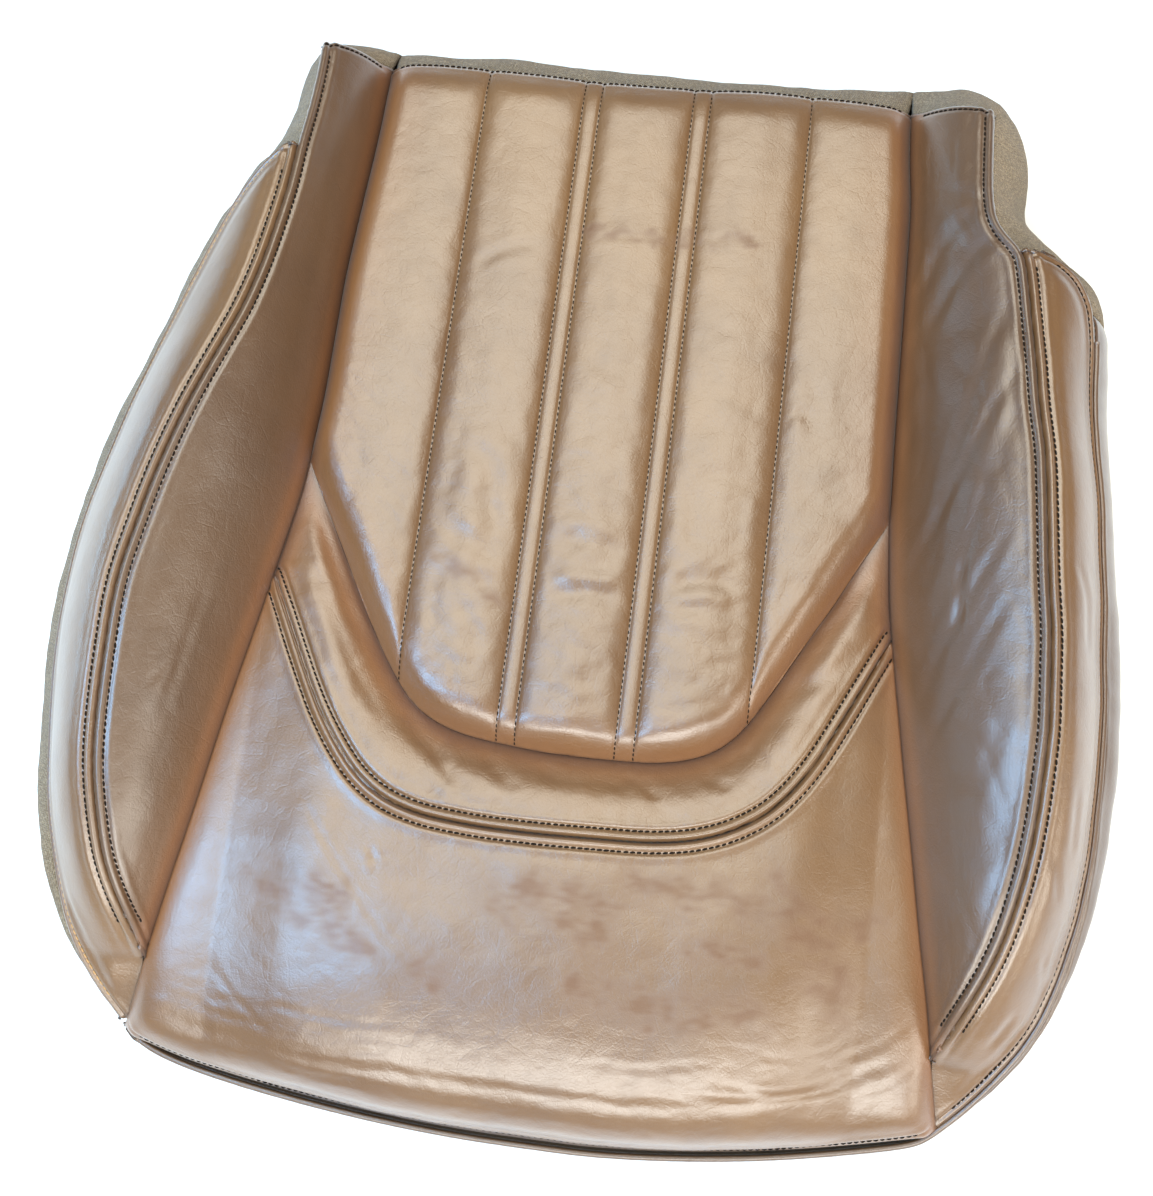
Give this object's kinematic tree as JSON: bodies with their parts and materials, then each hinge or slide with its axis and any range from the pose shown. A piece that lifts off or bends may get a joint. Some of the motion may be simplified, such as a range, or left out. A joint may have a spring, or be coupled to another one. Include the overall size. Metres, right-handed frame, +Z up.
{
  "type": "car seat cushion",
  "caption": "Bolstered car seat base cushion: pleated leather centre, wrapped nose and side bolsters over moulded foam, with hook flaps that fold down to grip a seat pan.",
  "frame": {"origin": "centre of the overall outline, on the underside of the base felt", "axes": "+Z up, -Y towards the front (thigh) edge, +Y towards the backrest, +X towards the occupant's left"},
  "size_m": [0.5244, 0.5526, 0.1389],
  "materials": {
    "leather": "semi-gloss, fine grain",
    "knit": "matt knit",
    "foam": "matt moulded skin",
    "wadding": "matt",
    "felt": "matt",
    "webbing": "matt weave",
    "sleeve": "matt",
    "channel": "satin extruded",
    "steel": "drawn wire"
  },
  "bodies": {
    "cushion": {"foam_bun": "foam", "nose_foam": "foam", "centre_foam": "foam", "left_bolster_foam": "foam", "right_bolster_foam": "foam", "base_felt": "felt", "insert_wadding": "wadding", "insert_cover": "leather", "thigh_band": "leather", "nose_panel": "leather", "left_bolster_inner": "leather", "left_bolster_outer": "leather", "right_bolster_inner": "leather", "right_bolster_outer": "leather", "front_fascia": "leather", "right_fascia": "leather", "left_fascia": "knit", "rear_fascia": "knit", "left_rear_gusset": "knit", "right_rear_gusset": "knit", "edge_welt": "leather", "left_listing_sleeve": "sleeve", "right_listing_sleeve": "sleeve", "front_listing_sleeve": "sleeve", "left_listing_wire": "steel", "right_listing_wire": "steel", "front_listing_wire": "steel", "left_anchor_wire": "steel", "right_anchor_wire": "steel", "front_anchor_wire": "steel", "hog_rings": "steel"},
    "front_flap": {"front_flap_webbing": "webbing", "front_j_channel": "channel"},
    "rear_flap": {"rear_flap_webbing": "webbing", "rear_j_channel": "channel"},
    "left_flap": {"left_flap_webbing": "webbing", "left_j_channel": "channel"},
    "right_flap": {"right_flap_webbing": "webbing", "right_j_channel": "channel"}
  },
  "joints": [
    {"name": "front_flap_fold", "type": "hinge", "parent": "cushion", "child": "front_flap", "pos_m": [0, -0.265, 0.03], "axis": [-1, 0, 0], "range_deg": [0, 90]},
    {"name": "rear_flap_fold", "type": "hinge", "parent": "cushion", "child": "rear_flap", "pos_m": [0, 0.262, 0.03], "axis": [1, 0, 0], "range_deg": [0, 90]},
    {"name": "left_flap_fold", "type": "hinge", "parent": "cushion", "child": "left_flap", "pos_m": [-0.238, -0.062, 0.03], "axis": [0, 1, 0], "range_deg": [0, 90]},
    {"name": "right_flap_fold", "type": "hinge", "parent": "cushion", "child": "right_flap", "pos_m": [0.238, -0.062, 0.03], "axis": [0, -1, 0], "range_deg": [0, 90]}
  ]
}
